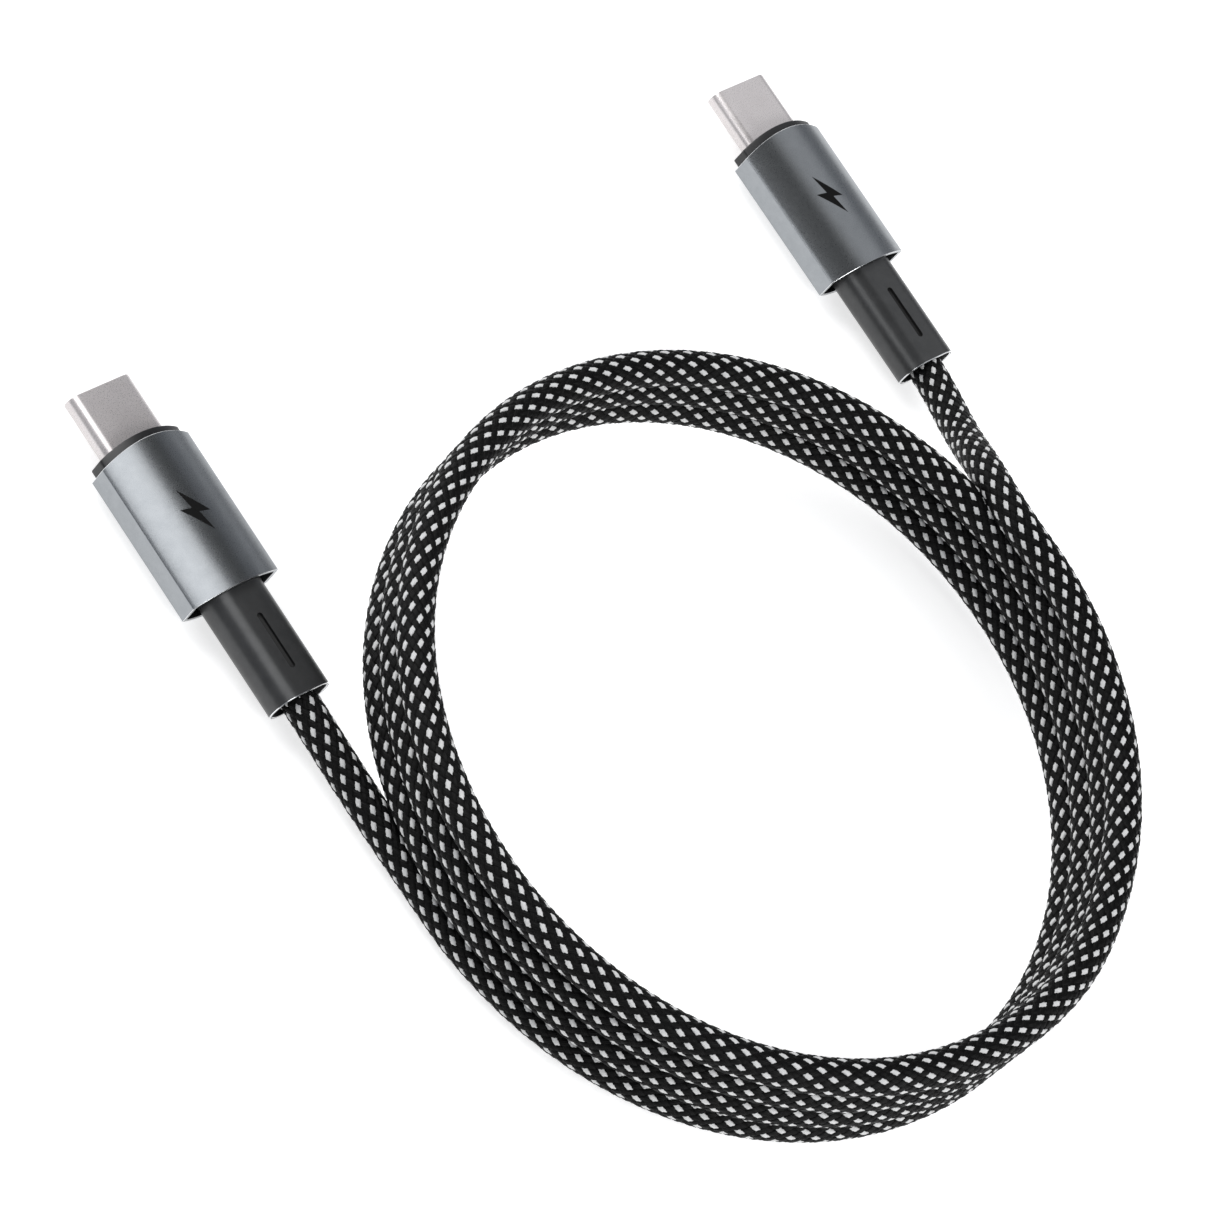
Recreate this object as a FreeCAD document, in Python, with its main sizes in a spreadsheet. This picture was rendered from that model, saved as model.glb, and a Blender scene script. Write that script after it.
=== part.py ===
import FreeCAD, Part
import math
import os

import Sketcher

# A 1 m magnetic charging cable, wound into a round coil with both USB-C ends lying
# beside it.  +Z is up, the cable lies on z = 0, and both plugs point along -X.
# Each plug is modelled once in its own frame, with X running from the casing's rear
# face towards the mouth and Y across the plug, and is then turned onto its place.

DIMENSIONS = (
    # the cable and its coil
    ("cable_diameter", 4.0),
    ("coil_x", 11.8),
    ("coil_y", -5.9),
    ("coil_radius", 41.0),
    ("coil_start_deg", -90.0),
    ("coil_end_deg", 65.0),
    ("coil_full_turns", 3.0),
    # where each plug lies: the centre of its casing's rear face
    ("plug_a_x", -26.8),
    ("plug_a_y", -47.9),
    ("plug_b_x", -29.3),
    ("plug_b_y", 47.9),
    # aluminium casing: flat sides, domed faces, crowned front edge
    ("casing_width", 11.5),
    ("casing_side", 2.8),
    ("casing_rise", 1.75),
    ("casing_wall", 0.45),
    ("casing_length", 17.1),
    ("casing_crown", 0.85),
    # plastic pieces that close the casing
    ("fit_gap", 0.05),
    ("collar_start", 14.6),
    ("collar_reach", 0.9),
    ("insert_start", 1.2),
    ("insert_length", 1.5),
    # USB-C shell
    ("shell_width", 8.25),
    ("shell_height", 2.4),
    ("shell_corner", 1.15),
    ("shell_wall", 0.25),
    ("shell_length", 11.5),
    ("shell_exposed", 6.65),
    # insulator inside the shell, with its open tongue slot
    ("housing_gap", 0.025),
    ("housing_start", 15.0),
    ("mouth_recess", 0.4),
    ("mouth_depth", 5.5),
    ("mouth_height", 1.1),
    # contacts
    ("contact_count", 12.0),
    ("contact_pitch", 0.5),
    ("contact_width", 0.22),
    ("contact_thickness", 0.15),
    ("contact_level", 0.38),
    ("contact_start", 13.2),
    ("contact_length", 9.2),
    ("contact_bump", 0.12),
    # ground springs
    ("ground_spring_width", 5.2),
    ("ground_spring_length", 2.0),
    ("ground_spring_start", 22.7),
    ("ground_spring_thickness", 0.12),
    # latch arms
    ("arm_offset", 3.38),
    ("arm_thickness", 0.16),
    ("arm_height", 0.6),
    ("arm_length", 5.9),
    ("arm_root", 0.7),
    ("arm_bump", 0.2),
    # circuit board and its chip
    ("board_start", 6.6),
    ("board_length", 8.35),
    ("board_width", 7.4),
    ("board_thickness", 0.7),
    ("chip_start", 8.8),
    ("chip_length", 3.0),
    ("chip_width", 2.4),
    ("chip_height", 0.65),
    # pressed shield can round the board
    ("can_start", 6.5),
    ("can_length", 7.4),
    ("can_width", 8.8),
    ("can_height", 3.4),
    ("can_corner", 1.2),
    ("can_wall", 0.2),
    # cable end, ferrule, wires and inner mould
    ("cable_end_x", 6.2),
    ("ferrule_start", 3.0),
    ("ferrule_length", 3.0),
    ("ferrule_wall", 0.3),
    ("close_gap", 0.02),
    ("wire_radius", 0.33),
    ("wire_length", 2.0),
    ("wire_spread", 0.8),
    ("wire_level", 0.7),
    ("mould_start", 2.75),
    ("mould_length", 3.7),
    ("mould_width", 8.2),
    ("mould_height", 4.8),
    ("mould_corner", 2.3),
    # strain relief sleeve
    ("sleeve_width", 7.4),
    ("sleeve_height", 4.8),
    ("sleeve_corner", 2.3),
    ("sleeve_reach", 12.95),
    ("sleeve_inside", 2.7),
    ("sleeve_lip", 0.32),
    ("sleeve_recess", 1.1),
    ("slot_start", 3.4),
    ("slot_length", 6.65),
    ("slot_width", 0.7),
)

# Route of each free lead, from the mouth of its strain relief to the coil: straight runs
# between these points, joined by arcs.
LEAD_A_ROUTE = ((-13.85, -47.9, 3.15), (-2.0, -47.75, 2.6), (10.0, -46.9, 2.0))
LEAD_B_ROUTE = (
    (-16.35, 47.9, 3.15),
    (-7.5, 46.9, 3.5),
    (2.5, 41.0, 9.4),
    (12.0, 36.0, 15.3),
    (22.0, 34.0, 15.7),
)

PLUGS = ("a", "b")

doc = FreeCAD.newDocument("charging_cable")
nodes = []


# ---------------------------------------------------------------- driving dimensions
def make_sheet():
    sheet = doc.addObject("Spreadsheet::Sheet", "Sizes")
    for row, (alias, number) in enumerate(DIMENSIONS, start=1):
        sheet.set(f"A{row}", alias)
        sheet.set(f"B{row}", str(number))
        sheet.setAlias(f"B{row}", alias)
    doc.recompute()
    return sheet


sheet = make_sheet()


def size(alias):
    return float(sheet.get(alias))


def expression(formula):
    """A formula whose words are aliases, as FreeCAD reads it."""
    words = []
    for word in formula.split():
        is_alias = word.replace("_", "").isalnum() and not word[0].isdigit()
        words.append(f"Sizes.{word}" if is_alias else word)
    return " ".join(words)


def bind(item, prop, formula):
    item.setExpression(prop, expression(formula))


def worth(formula):
    return float(sheet.evalExpression(expression(formula)))


# ---------------------------------------------------------------- placing the pieces
def plug_placement(plug):
    place = FreeCAD.Vector(size(f"plug_{plug}_x"), size(f"plug_{plug}_y"), 0)
    return FreeCAD.Placement(place, FreeCAD.Rotation(FreeCAD.Vector(0, 0, 1), 180))


def keep_on_plug(item, label, plug):
    """Give a finished piece its name and lay it down on its plug's place."""
    item.Label = f"{label}_{plug}"
    item.Placement = plug_placement(plug)
    bind(item, ".Placement.Base.x", f"plug_{plug}_x")
    bind(item, ".Placement.Base.y", f"plug_{plug}_y")
    bind(item, ".Placement.Base.z", "casing_side / 2 + casing_rise")
    nodes.append(item)
    return item


# ---------------------------------------------------------------- sketch outlines
def draw_rounded(sketch, width, height, corner):
    """Rounded rectangle about the sketch's origin."""
    w = worth(width) / 2
    h = worth(height) / 2
    r = worth(corner)
    lines = (
        Part.LineSegment(FreeCAD.Vector(-w + r, -h, 0), FreeCAD.Vector(w - r, -h, 0)),
        Part.LineSegment(FreeCAD.Vector(w, -h + r, 0), FreeCAD.Vector(w, h - r, 0)),
        Part.LineSegment(FreeCAD.Vector(w - r, h, 0), FreeCAD.Vector(-w + r, h, 0)),
        Part.LineSegment(FreeCAD.Vector(-w, h - r, 0), FreeCAD.Vector(-w, -h + r, 0)),
    )
    first = sketch.GeometryCount
    for line in lines:
        sketch.addGeometry(line, False)
    centres = ((w - r, -h + r), (w - r, h - r), (-w + r, h - r), (-w + r, -h + r))
    for quarter, (x, y) in enumerate(centres):
        circle = Part.Circle(FreeCAD.Vector(x, y, 0), FreeCAD.Vector(0, 0, 1), r)
        start = (quarter - 1) * math.pi / 2
        sketch.addGeometry(Part.ArcOfCircle(circle, start, start + math.pi / 2), False)
    for side in range(4):
        line, arc, following = first + side, first + 4 + side, first + (side + 1) % 4
        sketch.addConstraint(Sketcher.Constraint("Tangent", line, 2, arc, 1))
        sketch.addConstraint(Sketcher.Constraint("Tangent", arc, 2, following, 1))
    sketch.addConstraint(Sketcher.Constraint("Horizontal", first))
    sketch.addConstraint(Sketcher.Constraint("Vertical", first + 1))
    for arc in range(5, 8):
        sketch.addConstraint(Sketcher.Constraint("Equal", first + 4, first + arc))
    centre_pair = (first + 4, 3, first + 6, 3)
    sketch.addConstraint(Sketcher.Constraint("Symmetric", *centre_pair, -1, 1))
    add_size(sketch, Sketcher.Constraint("Radius", first + 4, r), corner)
    across = (first + 3, 1, first + 1, 2)
    add_size(sketch, Sketcher.Constraint("DistanceX", *across, 2 * w), width)
    upright = (first, 1, first + 2, 2)
    add_size(sketch, Sketcher.Constraint("DistanceY", *upright, 2 * h), height)


def draw_domed(sketch, width, side, rise):
    """Two upright flat sides joined by a shallow arc above and below."""
    w = worth(width) / 2
    s = worth(side) / 2
    dome = worth(rise)
    radius = (w * w + dome * dome) / (2 * dome)
    middle = s + dome - radius
    half = math.asin(w / radius)
    upright = math.pi / 2
    first = sketch.GeometryCount
    right = Part.LineSegment(FreeCAD.Vector(w, -s, 0), FreeCAD.Vector(w, s, 0))
    left = Part.LineSegment(FreeCAD.Vector(-w, s, 0), FreeCAD.Vector(-w, -s, 0))
    top = Part.Circle(FreeCAD.Vector(0, middle, 0), FreeCAD.Vector(0, 0, 1), radius)
    bottom = Part.Circle(FreeCAD.Vector(0, -middle, 0), FreeCAD.Vector(0, 0, 1), radius)
    sketch.addGeometry(right, False)
    sketch.addGeometry(Part.ArcOfCircle(top, upright - half, upright + half), False)
    sketch.addGeometry(left, False)
    sketch.addGeometry(Part.ArcOfCircle(bottom, -upright - half, -upright + half), False)
    for piece in range(4):
        joint = (first + piece, 2, first + (piece + 1) % 4, 1)
        sketch.addConstraint(Sketcher.Constraint("Coincident", *joint))
    sketch.addConstraint(Sketcher.Constraint("Symmetric", first, 1, first, 2, -1))
    sketch.addConstraint(Sketcher.Constraint("Symmetric", first + 2, 1, first + 2, 2, -1))
    sketch.addConstraint(Sketcher.Constraint("Symmetric", first, 1, first + 2, 2, -2))
    sketch.addConstraint(Sketcher.Constraint("Equal", first + 1, first + 3))
    add_size(sketch, Sketcher.Constraint("DistanceX", first + 2, 1, first, 2, 2 * w), width)
    add_size(sketch, Sketcher.Constraint("DistanceY", first, 1, first, 2, 2 * s), side)
    arc = f"( ( {width} ) ^ 2 / 4 + ( {rise} ) ^ 2 ) / ( 2 * ( {rise} ) )"
    add_size(sketch, Sketcher.Constraint("Radius", first + 1, radius), arc)


def add_size(sketch, constraint, formula):
    index = sketch.addConstraint(constraint)
    bind(sketch, f"Constraints[{index}]", formula)


def origin_plane(body, role):
    for feature in body.Origin.OriginFeatures:
        if feature.Role == role:
            return feature
    raise ValueError(role)


def section_bar(name, outlines, start, length):
    """A bar along X: the first outline is its outside and the second, if any, its bore."""
    body = doc.addObject("PartDesign::Body", name)
    sketch = body.newObject("Sketcher::SketchObject", f"{name}_section")
    sketch.AttachmentSupport = (origin_plane(body, "YZ_Plane"), [""])
    sketch.MapMode = "FlatFace"
    bind(sketch, ".AttachmentOffset.Base.z", start)
    for draw, formulas in outlines:
        draw(sketch, *formulas)
    pad = body.newObject("PartDesign::Pad", f"{name}_pad")
    pad.Profile = sketch
    bind(pad, "Length", length)
    sketch.Visibility = False
    return body


# ---------------------------------------------------------------- primitives and booleans
def box(name, start, length, width, height, level="0", side="0"):
    """A box along X; side is its middle in Y and level its underside in Z."""
    item = doc.addObject("Part::Box", name)
    bind(item, "Length", length)
    bind(item, "Width", width)
    bind(item, "Height", height)
    bind(item, ".Placement.Base.x", start)
    bind(item, ".Placement.Base.y", f"( {side} ) - ( {width} ) / 2")
    bind(item, ".Placement.Base.z", level)
    return item


def rod(name, start, length, radius, level="0", side="0"):
    """A cylinder that runs along X."""
    item = doc.addObject("Part::Cylinder", name)
    turn = FreeCAD.Rotation(FreeCAD.Vector(0, 1, 0), 90)
    item.Placement = FreeCAD.Placement(FreeCAD.Vector(), turn)
    bind(item, "Radius", radius)
    bind(item, "Height", length)
    bind(item, ".Placement.Base.x", start)
    bind(item, ".Placement.Base.y", side)
    bind(item, ".Placement.Base.z", level)
    return item


def post(name, middle_x, radius, height, level):
    """A cylinder that stands along Z on the plug's centre line."""
    item = doc.addObject("Part::Cylinder", name)
    bind(item, "Radius", radius)
    bind(item, "Height", height)
    bind(item, ".Placement.Base.x", middle_x)
    bind(item, ".Placement.Base.z", level)
    return item


def cut(name, base, tool):
    item = doc.addObject("Part::Cut", name)
    item.Base = base
    item.Tool = tool
    return item


def common(name, base, tool):
    item = doc.addObject("Part::Common", name)
    item.Base = base
    item.Tool = tool
    return item


def fuse(name, items):
    item = doc.addObject("Part::MultiFuse", name)
    item.Shapes = items
    return item


def group(name, items):
    item = doc.addObject("Part::Compound", name)
    item.Links = items
    return item


# ---------------------------------------------------------------- casing and closures
INNER_DOME = (
    "casing_width - 2 * casing_wall",
    "casing_side - casing_wall",
    "casing_rise - casing_wall / 2",
)
CLOSURE_DOME = (
    "casing_width - 2 * casing_wall - 2 * fit_gap",
    "casing_side - casing_wall - fit_gap",
    "casing_rise - casing_wall / 2 - fit_gap",
)
CROWN_RADIUS = "( casing_width ^ 2 / 4 + casing_crown ^ 2 ) / ( 2 * casing_crown )"
SHELL_OUTLINE = ("shell_width", "shell_height", "shell_corner")


def crown_drum(name, reach):
    """Upright drum whose rim is the crowned front edge, moved forward by reach."""
    radius = f"{CROWN_RADIUS} + {reach}"
    middle = f"casing_length + casing_crown - {CROWN_RADIUS}"
    return post(name, middle, radius, "casing_width", "0 - casing_width / 2")


def make_casing(plug):
    outlines = [
        (draw_domed, ("casing_width", "casing_side", "casing_rise")),
        (draw_domed, INNER_DOME),
    ]
    blank = section_bar(f"casing_blank_{plug}", outlines, "0", "casing_length + casing_crown")
    drum = crown_drum(f"casing_drum_{plug}", "0")
    keep_on_plug(common(f"casing_cut_{plug}", blank, drum), "casing", plug)


def make_nose_collar(plug):
    gap = "2 * close_gap"
    hole = (f"shell_width + {gap}", f"shell_height + {gap}", "shell_corner + close_gap")
    outlines = [(draw_domed, CLOSURE_DOME), (draw_rounded, hole)]
    length = "casing_length + casing_crown + collar_reach - collar_start"
    blank = section_bar(f"collar_blank_{plug}", outlines, "collar_start", length)
    drum = crown_drum(f"collar_drum_{plug}", "collar_reach")
    keep_on_plug(common(f"collar_cut_{plug}", blank, drum), "nose_collar", plug)


def make_rear_insert(plug):
    gap = "2 * close_gap"
    hole = (f"sleeve_width + {gap}", f"sleeve_height + {gap}", "sleeve_corner + close_gap")
    outlines = [(draw_domed, CLOSURE_DOME), (draw_rounded, hole)]
    body = section_bar(f"insert_{plug}", outlines, "insert_start", "insert_length")
    keep_on_plug(body, "rear_insert", plug)


# ---------------------------------------------------------------- the USB-C end
TIP = "casing_length + casing_crown + collar_reach + shell_exposed"
HOUSING_FRONT = f"{TIP} - mouth_recess"
MOUTH_BACK = f"{HOUSING_FRONT} - mouth_depth"


def make_plug_shell(plug):
    bore = (
        "shell_width - 2 * shell_wall",
        "shell_height - 2 * shell_wall",
        "shell_corner - shell_wall",
    )
    outlines = [(draw_rounded, SHELL_OUTLINE), (draw_rounded, bore)]
    body = section_bar(f"shell_{plug}", outlines, f"{TIP} - shell_length", "shell_length")
    keep_on_plug(body, "plug_shell", plug)


def make_contact_housing(plug):
    shrink = "2 * shell_wall - 2 * housing_gap"
    outline = (
        f"shell_width - {shrink}",
        f"shell_height - {shrink}",
        "shell_corner - shell_wall - housing_gap",
    )
    length = f"{HOUSING_FRONT} - housing_start"
    name = f"housing_{plug}"
    blank = section_bar(f"{name}_blank", [(draw_rounded, outline)], "housing_start", length)
    mouth = box(f"{name}_mouth", MOUTH_BACK, "mouth_depth + mouth_recess", "shell_width",
                "mouth_height", "0 - mouth_height / 2")
    tools = [mouth]
    for sign, side in (("", "left"), ("-", "right")):
        width = "arm_thickness + 2 * fit_gap"
        height = "arm_height + 2 * fit_gap"
        middle = f"{sign} ( arm_offset + arm_thickness / 2 )".strip()
        tools.append(box(f"{name}_pocket_{side}", f"{MOUTH_BACK} - arm_root - fit_gap",
                         "arm_root + 2 * fit_gap", width, height,
                         "0 - arm_height / 2 - fit_gap", middle))
    tool = fuse(f"{name}_tools", tools)
    keep_on_plug(cut(f"{name}_cut", blank, tool), "contact_housing", plug)


def make_contacts(plug, row, sign):
    """Twelve spring beams side by side, each with a raised touching point at its tip."""
    beams = []
    for index in range(int(size("contact_count"))):
        name = f"{row}_contact_{plug}_{index}"
        side = f"( {index} - ( contact_count - 1 ) / 2 ) * contact_pitch"
        level = "contact_level" if sign > 0 else "0 - contact_level - contact_thickness"
        touch_level = "contact_level" if sign > 0 else "0 - contact_level"
        beam = box(f"{name}_beam", "contact_start", "contact_length", "contact_width",
                   "contact_thickness", level, side)
        touch = doc.addObject("Part::Cylinder", f"{name}_touch")
        turn = FreeCAD.Rotation(FreeCAD.Vector(1, 0, 0), -90)
        touch.Placement = FreeCAD.Placement(FreeCAD.Vector(), turn)
        bind(touch, "Radius", "contact_bump")
        bind(touch, "Height", "contact_width")
        bind(touch, ".Placement.Base.x", "contact_start + contact_length - 2 * contact_bump")
        bind(touch, ".Placement.Base.y", f"{side} - contact_width / 2")
        bind(touch, ".Placement.Base.z", touch_level)
        beams.append(fuse(name, [beam, touch]))
    keep_on_plug(group(f"{row}_row_{plug}", beams), f"{row}_contacts", plug)


def make_ground_springs(plug):
    width = "ground_spring_width"
    length = "ground_spring_length"
    thickness = "ground_spring_thickness"
    start = "ground_spring_start"
    base = f"ground_{plug}"
    upper_level = "mouth_height / 2 - ground_spring_thickness - close_gap"
    upper = box(f"{base}_upper", start, length, width, thickness, upper_level)
    lower_level = "0 - mouth_height / 2 + close_gap"
    lower = box(f"{base}_lower", start, length, width, thickness, lower_level)
    keep_on_plug(group(f"{base}_pair", [upper, lower]), "ground_springs", plug)


def make_latch_arm(plug, side, sign):
    """A side spring: its root sits in the housing and its tip has an inward catch."""
    name = f"arm_{side}_{plug}"
    middle = "arm_offset + arm_thickness / 2"
    middle = middle if sign > 0 else f"0 - ( {middle} )"
    root = f"{MOUTH_BACK} - arm_root"
    blade = box(f"{name}_blade", root, "arm_length", "arm_thickness", "arm_height",
                "0 - arm_height / 2", middle)
    catch = doc.addObject("Part::Prism", f"{name}_catch")
    catch.Polygon = 3
    turn = FreeCAD.Rotation(FreeCAD.Vector(0, 0, 1), -90 * sign)
    catch.Placement = FreeCAD.Placement(FreeCAD.Vector(), turn)
    bind(catch, "Circumradius", "arm_bump")
    bind(catch, "Height", "arm_height")
    bind(catch, ".Placement.Base.x", f"{root} + arm_length - arm_bump")
    seat = "arm_offset + close_gap - arm_bump / 2"
    bind(catch, ".Placement.Base.y", seat if sign > 0 else f"0 - ( {seat} )")
    bind(catch, ".Placement.Base.z", "0 - arm_height / 2")
    keep_on_plug(fuse(name, [blade, catch]), f"latch_arm_{side}", plug)


# ---------------------------------------------------------------- inside the casing
def make_electronics(plug):
    board = box(f"board_{plug}", "board_start", "board_length", "board_width",
                "board_thickness", "0 - board_thickness / 2")
    keep_on_plug(group(f"board_item_{plug}", [board]), "circuit_board", plug)
    chip = box(f"chip_{plug}", "chip_start", "chip_length", "chip_width", "chip_height",
               "board_thickness / 2")
    keep_on_plug(group(f"chip_item_{plug}", [chip]), "emarker_chip", plug)
    bore = ("can_width - 2 * can_wall", "can_height - 2 * can_wall", "can_corner - can_wall")
    outlines = [(draw_rounded, ("can_width", "can_height", "can_corner")), (draw_rounded, bore)]
    keep_on_plug(section_bar(f"can_{plug}", outlines, "can_start", "can_length"),
                 "shield_can", plug)


def make_cable_termination(plug):
    radius = "cable_diameter / 2"
    cable = rod(f"cable_{plug}", "0 - sleeve_reach", "sleeve_reach + cable_end_x", radius)
    keep_on_plug(group(f"cable_item_{plug}", [cable]), "cable_end", plug)

    outside = rod(f"ferrule_out_{plug}", "ferrule_start", "ferrule_length",
                  f"{radius} + ferrule_wall")
    inside = rod(f"ferrule_in_{plug}", "ferrule_start - 1", "ferrule_length + 2",
                 f"{radius} + close_gap / 2")
    keep_on_plug(cut(f"ferrule_{plug}", outside, inside), "crimp_ferrule", plug)

    outline = ("mould_width", "mould_height", "mould_corner")
    block = section_bar(f"mould_blank_{plug}", [(draw_rounded, outline)], "mould_start",
                        "mould_length")
    bore = rod(f"mould_bore_{plug}", "mould_start - 1", "mould_length + 2",
               f"{radius} + ferrule_wall + close_gap")
    keep_on_plug(cut(f"mould_{plug}", block, bore), "inner_mould", plug)

    wires = []
    for row, level in (("upper", "wire_level"), ("lower", "0 - wire_level")):
        for hand, side in (("left", "wire_spread"), ("right", "0 - wire_spread")):
            wires.append(rod(f"wire_{row}_{hand}_{plug}", "cable_end_x", "wire_length",
                             "wire_radius", level, side))
    keep_on_plug(group(f"wires_{plug}", wires), "wire_ends", plug)


def make_strain_relief(plug):
    """Stiff sleeve over the cable, with an open mouth and one slot along its top."""
    name = f"sleeve_{plug}"
    outline = ("sleeve_width", "sleeve_height", "sleeve_corner")
    length = "sleeve_reach + sleeve_inside"
    blank = section_bar(f"{name}_blank", [(draw_rounded, outline)], "0 - sleeve_reach", length)
    lip = "2 * sleeve_lip"
    mouth = (f"sleeve_width - {lip}", f"sleeve_height - {lip}", "sleeve_corner - sleeve_lip")
    tools = [
        rod(f"{name}_bore", "0 - sleeve_reach - 1", f"{length} + 2",
            "cable_diameter / 2 + close_gap"),
        section_bar(f"{name}_mouth", [(draw_rounded, mouth)], "0 - sleeve_reach",
                    "sleeve_recess"),
        box(f"{name}_slot", "0 - slot_start - slot_length + slot_width / 2",
            "slot_length - slot_width", "slot_width", "sleeve_height"),
        post(f"{name}_slot_front", "0 - slot_start - slot_width / 2", "slot_width / 2",
             "sleeve_height", "0"),
        post(f"{name}_slot_back", "0 - slot_start - slot_length + slot_width / 2",
             "slot_width / 2", "sleeve_height", "0"),
    ]
    keep_on_plug(cut(f"{name}_cut", blank, fuse(f"{name}_tools", tools)), "strain_relief", plug)


def make_plug(plug):
    make_casing(plug)
    make_nose_collar(plug)
    make_rear_insert(plug)
    make_plug_shell(plug)
    make_contact_housing(plug)
    make_contacts(plug, "upper", 1)
    make_contacts(plug, "lower", -1)
    make_ground_springs(plug)
    make_latch_arm(plug, "left", 1)
    make_latch_arm(plug, "right", -1)
    make_electronics(plug)
    make_cable_termination(plug)
    make_strain_relief(plug)


# ---------------------------------------------------------------- the coil and the leads
def make_coil():
    """The wound turns as one plain ring; the loose cable is wound inside this shape."""
    body = doc.addObject("PartDesign::Body", "coil_body")
    sketch = body.newObject("Sketcher::SketchObject", "coil_section")
    sketch.AttachmentSupport = (origin_plane(body, "XZ_Plane"), [""])
    sketch.MapMode = "FlatFace"
    rise = "coil_full_turns + ( coil_end_deg - coil_start_deg ) / 360"
    height = f"cable_diameter * ( 1 + {rise} )"
    outline = ("cable_diameter", height, "cable_diameter / 2 - close_gap")
    draw_rounded(sketch, *outline)
    bind(sketch, ".AttachmentOffset.Base.x", "coil_radius")
    bind(sketch, ".AttachmentOffset.Base.y", f"{height} / 2")
    turn = body.newObject("PartDesign::Revolution", "coil_turn")
    turn.Profile = sketch
    turn.ReferenceAxis = (origin_plane(body, "Z_Axis"), [""])
    turn.Angle = 360
    body.Label = "cord_coil"
    bind(body, ".Placement.Base.x", "coil_x")
    bind(body, ".Placement.Base.y", "coil_y")
    nodes.append(body)


def rounded_path(points):
    """Straight runs joined by the largest arcs that their lengths allow."""
    edges = []
    radii = []
    start = points[0]
    for before, corner, after in zip(points, points[1:], points[2:]):
        incoming = (corner - before).normalize()
        outgoing = (after - corner).normalize()
        half_turn = incoming.getAngle(outgoing) / 2
        shorter = min(before.distanceToPoint(corner), corner.distanceToPoint(after))
        setback = 0.45 * shorter
        radius = setback / math.tan(half_turn)
        inward = (outgoing - incoming).normalize()
        middle = corner + inward * (radius / math.cos(half_turn) - radius)
        arc_start = corner - incoming * setback
        arc_end = corner + outgoing * setback
        edges.append(Part.LineSegment(start, arc_start).toShape())
        edges.append(Part.Arc(arc_start, middle, arc_end).toShape())
        radii.append(radius)
        start = arc_end
    edges.append(Part.LineSegment(start, points[-1]).toShape())
    return Part.Wire(edges), radii


def make_lead(label, route):
    points = [FreeCAD.Vector(*point) for point in route]
    path, radii = rounded_path(points)
    radius = size("cable_diameter") / 2
    direction = points[1] - points[0]
    section = Part.Wire(Part.Circle(points[0], direction, radius).toShape())
    item = doc.addObject("Part::Feature", label)
    item.Label = label
    item.Shape = path.makePipeShell([section], True, False)
    expected = math.pi * radius**2 * path.Length
    print(label, "radii", [round(value, 1) for value in radii], "length",
          round(path.Length, 2), "volume ratio", round(item.Shape.Volume / expected, 4))
    nodes.append(item)


# ---------------------------------------------------------------- checking and writing
def check_objects():
    for item in doc.Objects:
        if "Invalid" in item.State or "Error" in item.State:
            raise RuntimeError(f"{item.Label} failed: {item.State}")
    for item in nodes:
        if item.Shape.isNull() or not item.Shape.isValid():
            raise RuntimeError(f"{item.Label} has no valid shape")


def write_parts():
    os.makedirs("parts", exist_ok=True)
    for old in os.listdir("parts"):
        os.remove(os.path.join("parts", old))
    for item in nodes:
        item.Shape.exportStep(os.path.join("parts", f"{item.Label}.step"))
        print(item.Label, "solids", len(item.Shape.Solids), "volume",
              round(item.Shape.Volume, 3))


for plug in PLUGS:
    make_plug(plug)
make_coil()
make_lead("lead_a", LEAD_A_ROUTE)
make_lead("lead_b", LEAD_B_ROUTE)
doc.recompute()
check_objects()
write_parts()
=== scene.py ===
import math

import bmesh
import bpy
import numpy as np
from mathutils import Matrix, Vector


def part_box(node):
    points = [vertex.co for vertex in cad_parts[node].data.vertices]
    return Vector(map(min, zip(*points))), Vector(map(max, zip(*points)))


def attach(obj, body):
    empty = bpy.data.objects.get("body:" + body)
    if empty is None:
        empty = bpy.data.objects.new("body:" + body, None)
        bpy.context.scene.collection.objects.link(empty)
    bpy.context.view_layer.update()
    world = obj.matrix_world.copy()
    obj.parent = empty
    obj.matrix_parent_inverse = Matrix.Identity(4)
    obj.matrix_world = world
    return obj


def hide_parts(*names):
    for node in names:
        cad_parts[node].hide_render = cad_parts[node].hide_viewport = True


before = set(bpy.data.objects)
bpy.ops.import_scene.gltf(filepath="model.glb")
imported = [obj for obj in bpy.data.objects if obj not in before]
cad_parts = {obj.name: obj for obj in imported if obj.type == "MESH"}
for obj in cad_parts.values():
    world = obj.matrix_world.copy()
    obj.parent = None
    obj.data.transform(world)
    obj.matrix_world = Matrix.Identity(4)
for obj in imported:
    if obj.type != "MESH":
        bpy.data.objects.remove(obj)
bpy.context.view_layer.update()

MM = 0.001


# ------------------------------------------------------------------ camera
# A long lens looks down on the coil from the side where plug a lies, and is turned so
# that both plugs point up and to the left.
TARGET = Vector((-8.978, -5.864, 0.0)) * MM
CAMERA_DISTANCE = 612.165 * MM
CAMERA_TILT = math.radians(39.168)
CAMERA_TURN = math.radians(14.405)
CAMERA_ROLL = math.radians(45.039)
CAMERA_LENS = 171.96
CAMERA_SENSOR = 36.0
NEAREST_SEEN = 0.02
FARTHEST_SEEN = 20.0

toward_eye = Vector((
    math.sin(CAMERA_TILT) * math.sin(CAMERA_TURN),
    -math.sin(CAMERA_TILT) * math.cos(CAMERA_TURN),
    math.cos(CAMERA_TILT),
))
level_right = Vector((math.cos(CAMERA_TURN), math.sin(CAMERA_TURN), 0.0))
level_up = toward_eye.cross(level_right)
camera_right = level_right * math.cos(CAMERA_ROLL) + level_up * math.sin(CAMERA_ROLL)
camera_up = level_up * math.cos(CAMERA_ROLL) - level_right * math.sin(CAMERA_ROLL)
camera_axes = Matrix((camera_right, camera_up, toward_eye)).transposed().to_4x4()
camera_place = Matrix.Translation(TARGET + toward_eye * CAMERA_DISTANCE)

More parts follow.
